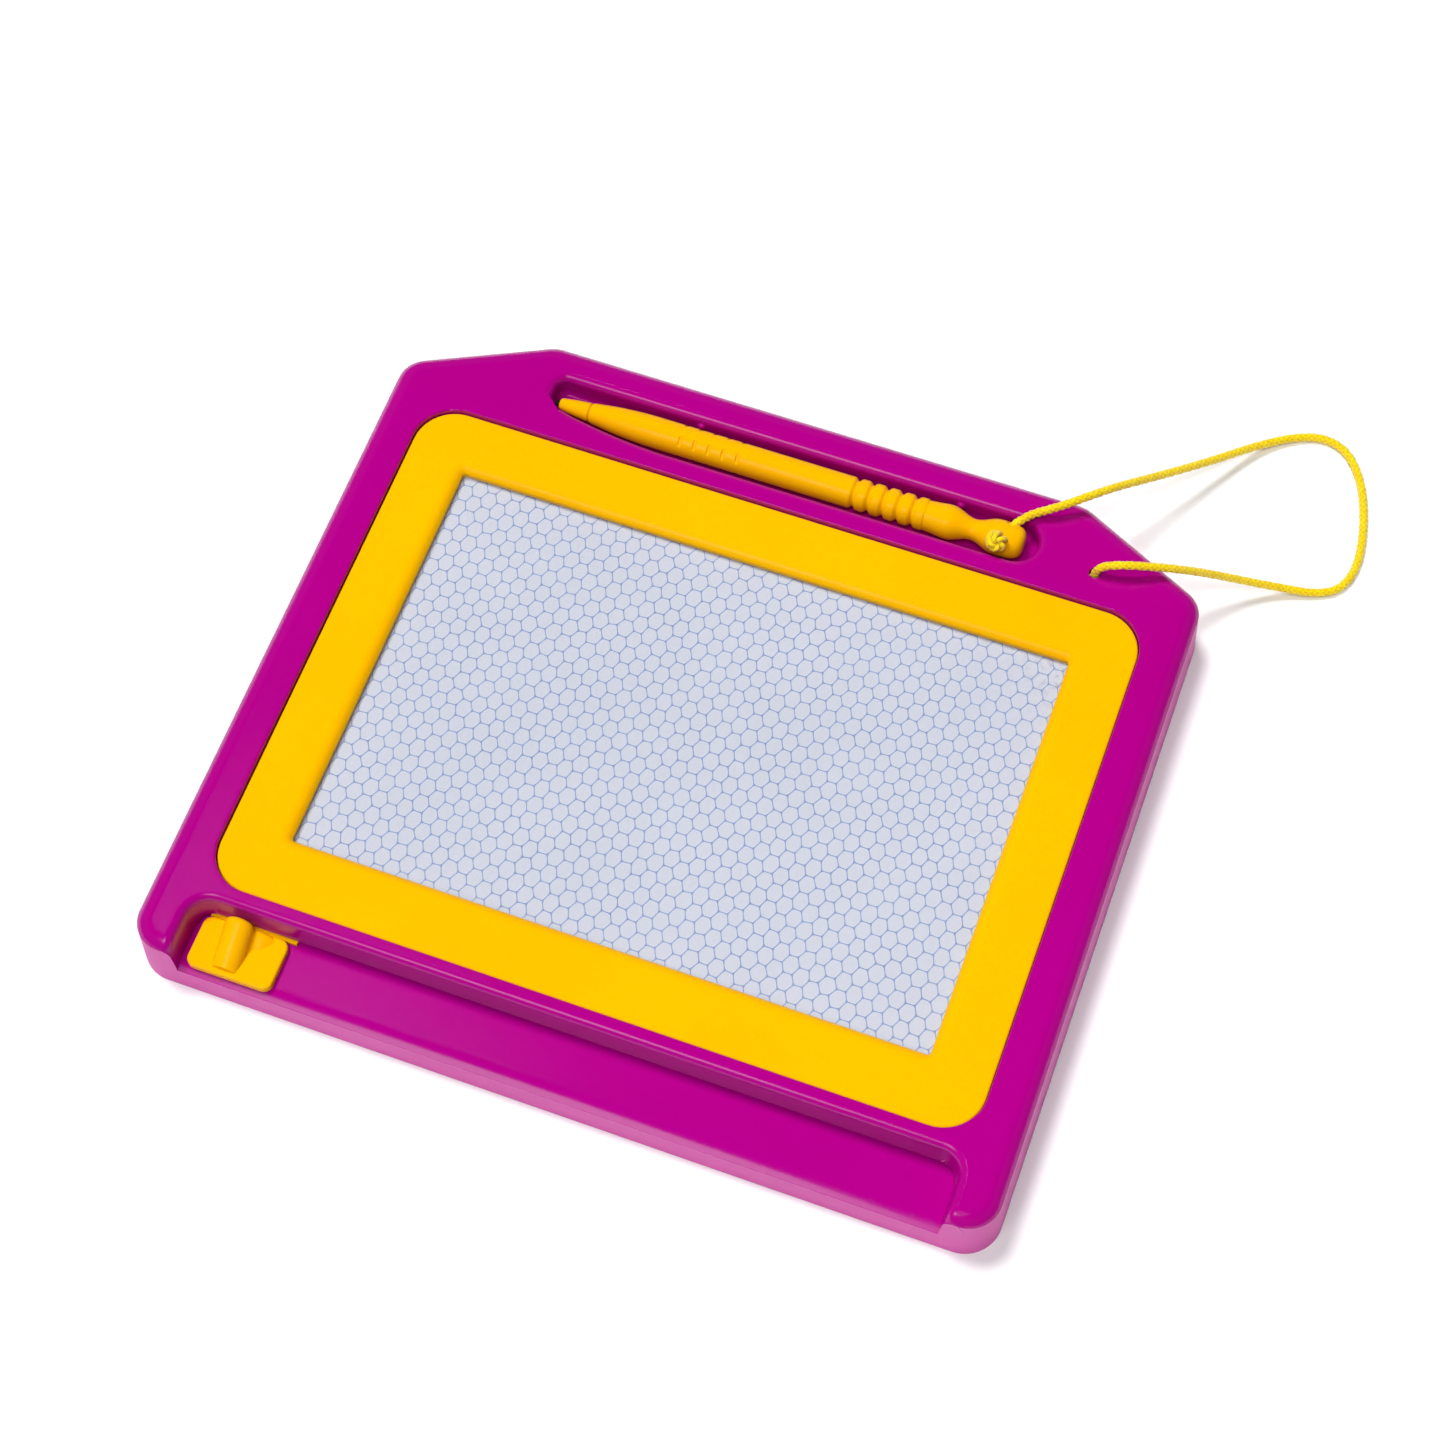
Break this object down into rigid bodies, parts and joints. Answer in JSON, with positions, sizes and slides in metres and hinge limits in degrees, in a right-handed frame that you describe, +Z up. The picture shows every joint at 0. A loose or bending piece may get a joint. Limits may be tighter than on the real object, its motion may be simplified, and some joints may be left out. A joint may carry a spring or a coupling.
{
  "type": "magnetic drawing board",
  "caption": "Child's magnetic drawing board: shallow case, framed cell screen, eraser sliding in a front trough, and a corded magnetic pen in a rear tray.",
  "frame": {"origin": "on the standing surface, under the middle of the case", "axes": "+X along the eraser's trough to the right, +Y from the trough towards the pen's tray, +Z up out of the screen"},
  "size_m": [0.2324, 0.2237, 0.023],
  "materials": {
    "case_plastic": "glossy magenta moulding with fine matte outer walls",
    "frame_plastic": "satin warm yellow moulding",
    "pen_plastic": "satin warm yellow moulding",
    "clear_film": "clear smooth film",
    "cell_sheet": "pale fluid in thin-walled cells",
    "seal_adhesive": "translucent bead",
    "back_film": "plain film",
    "tape": "double-sided tape",
    "magnet_strip": "flexible magnet, matte",
    "magnet_rod": "dark sintered magnet",
    "screw_steel": "zinc plated",
    "cord_braid": "braided yellow synthetic cord"
  },
  "bodies": {
    "board": {"front_casing": "case_plastic", "rear_cover": "case_plastic", "cover_screws": "screw_steel", "bezel": "frame_plastic", "panel_tape": "tape", "panel_front_film": "clear_film", "panel_cell_sheet": "cell_sheet", "panel_edge_seal": "seal_adhesive", "panel_back_film": "back_film", "case_knot": "cord_braid"},
    "eraser": {"eraser_knob": "pen_plastic", "eraser_carriage": "frame_plastic", "eraser_magnet": "magnet_strip"},
    "pen": {"pen_barrel": "pen_plastic", "pen_nose": "pen_plastic", "pen_magnet": "magnet_rod", "pen_knot": "cord_braid", "cord": "cord_braid"}
  },
  "joints": [
    {"name": "eraser_slide", "type": "slide", "parent": "board", "child": "eraser", "axis": [1, 0, 0], "range_m": [0, 0.153]},
    {"name": "pen_lift", "type": "slide", "parent": "board", "child": "pen", "axis": [0, 0, 1], "range_m": [0, 0.03]}
  ]
}
